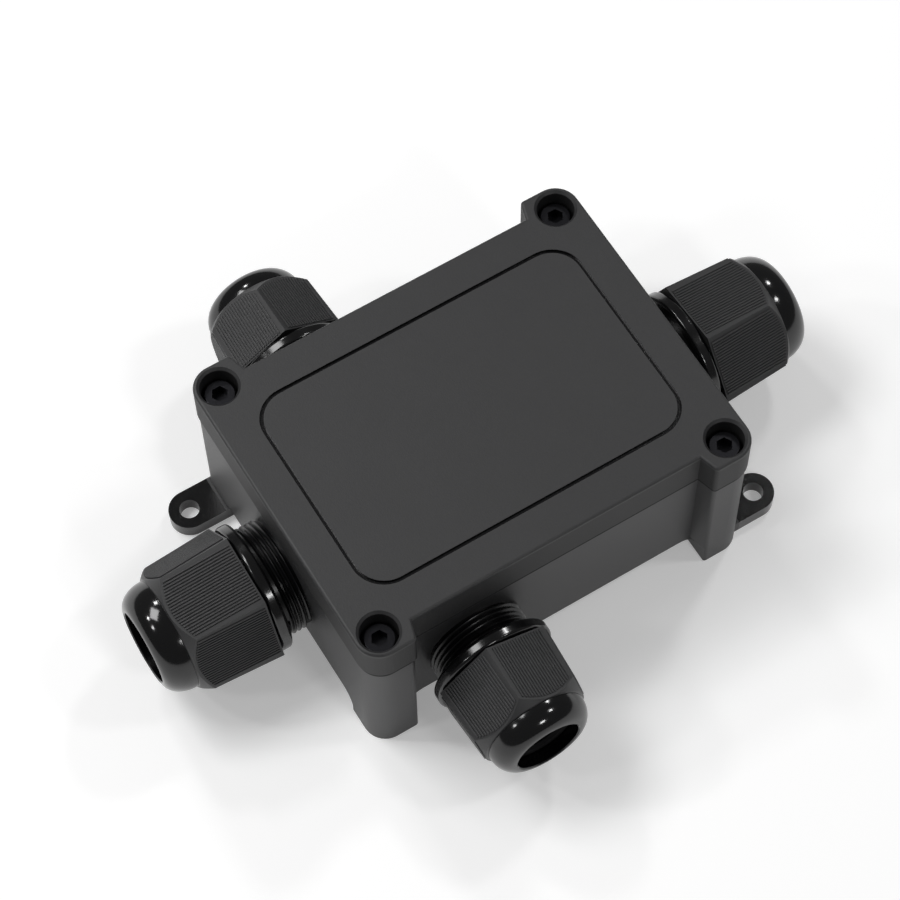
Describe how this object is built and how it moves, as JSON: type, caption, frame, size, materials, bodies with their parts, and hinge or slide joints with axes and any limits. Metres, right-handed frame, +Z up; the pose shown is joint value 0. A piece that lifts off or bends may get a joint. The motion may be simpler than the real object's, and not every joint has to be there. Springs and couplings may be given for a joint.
{
  "type": "junction box",
  "caption": "Sealed rectangular cable junction box with a screwed lid, corner feet, diagonal fixing ears and cable glands on all sides.",
  "frame": {"origin": "on the ground plane, below the middle of the whole box with its glands", "axes": "+X along the long side through the two larger glands, +Y to the back, +Z up through the lid"},
  "size_m": [0.201, 0.1578, 0.056],
  "materials": {
    "case_plastic": "fine matte moulded nylon",
    "lid_plastic": "fine matte moulded nylon",
    "seal_rubber": "smooth black rubber",
    "block_plastic": "grey moulded nylon",
    "brass": "turned",
    "zinc_steel": "zinc plated",
    "black_steel": "black oxide",
    "gland_plastic": "glossy moulded nylon",
    "claw_plastic": "moulded nylon",
    "nut_plastic": "ribbed matte flats with a glossy dome"
  },
  "bodies": {
    "housing": {"base": "case_plastic", "lid_seal": "seal_rubber", "terminal_block": "block_plastic", "terminal_tubes": "brass", "terminal_clamp_screws": "zinc_steel", "block_fixing_screws": "zinc_steel", "insert_front_left": "brass", "insert_back_left": "brass", "insert_front_right": "brass", "insert_back_right": "brass", "left_gland_body": "gland_plastic", "right_gland_body": "gland_plastic", "front_gland_body": "gland_plastic", "back_gland_body": "gland_plastic"},
    "lid": {"lid": "lid_plastic", "lid_screw_front_left": "black_steel", "lid_screw_back_left": "black_steel", "lid_screw_front_right": "black_steel", "lid_screw_back_right": "black_steel"},
    "left_seal": {"left_cable_seal": "seal_rubber", "left_clamping_claw": "claw_plastic"},
    "left_nut": {"left_dome_nut": "nut_plastic"},
    "right_seal": {"right_cable_seal": "seal_rubber", "right_clamping_claw": "claw_plastic"},
    "right_nut": {"right_dome_nut": "nut_plastic"},
    "front_seal": {"front_cable_seal": "seal_rubber", "front_clamping_claw": "claw_plastic"},
    "front_nut": {"front_dome_nut": "nut_plastic"},
    "back_seal": {"back_cable_seal": "seal_rubber", "back_clamping_claw": "claw_plastic"},
    "back_nut": {"back_dome_nut": "nut_plastic"}
  },
  "joints": [
    {"name": "lid_lift", "type": "slide", "parent": "housing", "child": "lid", "axis": [0, 0, 1], "range_m": [0, 0.04]},
    {"name": "left_seal_travel", "type": "slide", "parent": "housing", "child": "left_seal", "axis": [-1, 0, 0], "range_m": [0, 0.0046]},
    {"name": "left_nut_turn", "type": "hinge", "parent": "left_seal", "child": "left_nut", "pos_m": [-0.086, 0, 0.024], "axis": [-1, 0, 0], "range_deg": [0, 1080]},
    {"name": "right_seal_travel", "type": "slide", "parent": "housing", "child": "right_seal", "axis": [1, 0, 0], "range_m": [0, 0.0046]},
    {"name": "right_nut_turn", "type": "hinge", "parent": "right_seal", "child": "right_nut", "pos_m": [0.086, 0, 0.024], "axis": [1, 0, 0], "range_deg": [0, 1080]},
    {"name": "front_seal_travel", "type": "slide", "parent": "housing", "child": "front_seal", "axis": [0, -1, 0], "range_m": [0, 0.0046]},
    {"name": "front_nut_turn", "type": "hinge", "parent": "front_seal", "child": "front_nut", "pos_m": [-0.025, -0.06659, 0.024], "axis": [0, -1, 0], "range_deg": [0, 1080]},
    {"name": "back_seal_travel", "type": "slide", "parent": "housing", "child": "back_seal", "axis": [0, 1, 0], "range_m": [0, 0.0046]},
    {"name": "back_nut_turn", "type": "hinge", "parent": "back_seal", "child": "back_nut", "pos_m": [-0.025, 0.06659, 0.024], "axis": [0, 1, 0], "range_deg": [0, 1080]}
  ],
  "couplings": [
    {"joint": "left_seal_travel", "follows": "left_nut_turn", "m_per_rad": 0.00023873},
    {"joint": "right_seal_travel", "follows": "right_nut_turn", "m_per_rad": 0.00023873},
    {"joint": "front_seal_travel", "follows": "front_nut_turn", "m_per_rad": 0.00023873},
    {"joint": "back_seal_travel", "follows": "back_nut_turn", "m_per_rad": 0.00023873}
  ]
}
